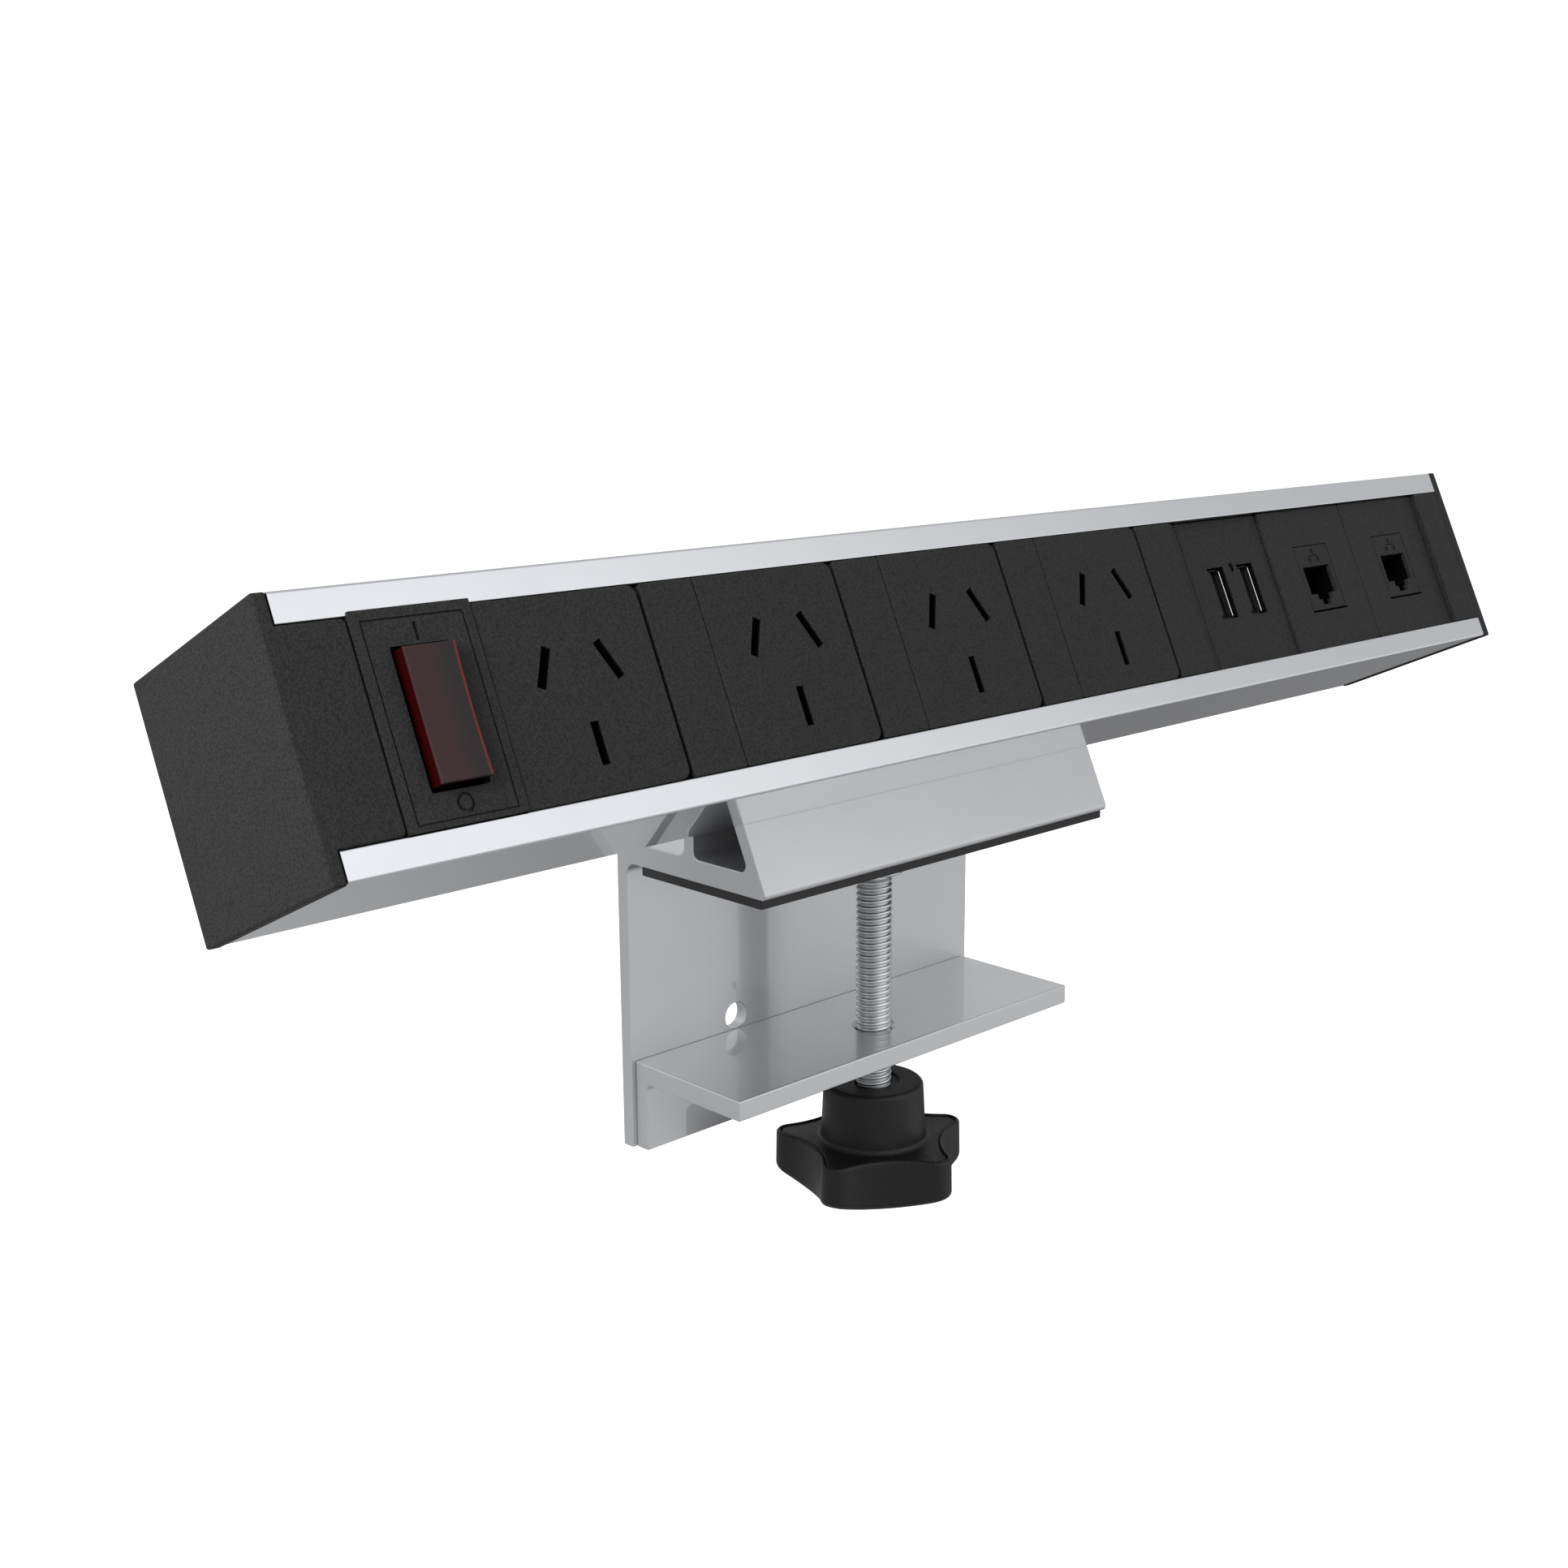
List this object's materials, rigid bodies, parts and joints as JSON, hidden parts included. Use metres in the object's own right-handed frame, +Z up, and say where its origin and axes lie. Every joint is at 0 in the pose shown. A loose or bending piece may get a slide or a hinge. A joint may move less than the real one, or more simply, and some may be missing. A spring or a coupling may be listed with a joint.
{
  "type": "desk power strip",
  "caption": "Desk power strip: a leaning aluminium bar of power, charger and network sockets with a reset rocker, on a bracket whose screw and lower jaw clamp to a desk edge.",
  "frame": {"origin": "centre of the rubber pad's underside, where the clamp rests on the desk top", "axes": "+X along the strip to the right as seen from the front, the sockets face -Y and lean back, +Z up"},
  "size_m": [0.3574, 0.086, 0.1651],
  "materials": {
    "anodised_aluminium": "satin clear anodised extrusion",
    "clamp_metal": "smooth silver finish with soft reflections",
    "black_plastic": "black moulded plastic with a fine leather grain",
    "cap_plastic": "black moulded plastic with a diagonal grain",
    "knob_plastic": "black moulded plastic, fine spark grain",
    "rocker_red": "dark translucent red",
    "black_rubber": "matte rubber",
    "steel": "bright zinc plated",
    "port_shell": "bright nickel plated",
    "copper": "bare copper alloy",
    "gold_contact": "gold plated",
    "board_green": "solder resist",
    "cream_plastic": "plain moulded plastic",
    "grey_plastic": "plain moulded plastic",
    "light_pipe": "clear moulded plastic",
    "wire_brown": "wire insulation",
    "wire_blue": "wire insulation",
    "wire_green": "wire insulation"
  },
  "bodies": {
    "strip": {"strip_extrusion": "anodised_aluminium", "end_cap_left": "cap_plastic", "end_cap_right": "cap_plastic", "mains_gland": "black_rubber", "data_gland": "black_rubber", "reset_module": "black_plastic", "rocker_pin": "steel", "breaker_body": "grey_plastic", "terminal_block": "cream_plastic", "terminal_screws": "steel", "socket_1": "black_plastic", "socket_2": "black_plastic", "socket_3": "black_plastic", "socket_4": "black_plastic", "active_busbar": "copper", "neutral_busbar": "copper", "earth_busbar": "copper", "filler_1": "black_plastic", "filler_2": "black_plastic", "filler_3": "black_plastic", "filler_4": "black_plastic", "end_filler": "black_plastic", "usb_module": "black_plastic", "usb_shells": "port_shell", "usb_tongues": "black_plastic", "usb_board": "board_green", "usb_light_pipe": "light_pipe", "data_module_1": "black_plastic", "data_module_2": "black_plastic", "data_jack_1": "black_plastic", "data_jack_2": "black_plastic", "jack_contacts_1": "gold_contact", "jack_contacts_2": "gold_contact", "wire_active": "wire_brown", "wire_neutral": "wire_blue", "wire_earth": "wire_green", "clamp_bracket": "clamp_metal", "channel_nuts": "steel", "mounting_screws": "steel", "desk_pad": "black_rubber", "lower_jaw": "clamp_metal", "jaw_bolts": "steel"},
    "rocker": {"reset_rocker": "rocker_red"},
    "foot": {"foot_cup": "steel", "foot_pad": "black_rubber"},
    "screw": {"clamp_screw": "steel", "knob": "knob_plastic"}
  },
  "joints": [
    {"name": "rocker_tilt", "type": "hinge", "parent": "strip", "child": "rocker", "pos_m": [-0.1512, -0.0415, 0.05506], "axis": [1, 0, 0], "range_deg": [-6, 6]},
    {"name": "screw_feed", "type": "slide", "parent": "strip", "child": "foot", "axis": [0, 0, 1], "range_m": [-0.0376, 0]},
    {"name": "screw_turn", "type": "hinge", "parent": "foot", "child": "screw", "pos_m": [0, 0.003, 0], "axis": [0, 0, 1], "range_deg": [-9000, 0]}
  ],
  "couplings": [
    {"joint": "screw_feed", "follows": "screw_turn", "m_per_rad": 0.00023873}
  ]
}
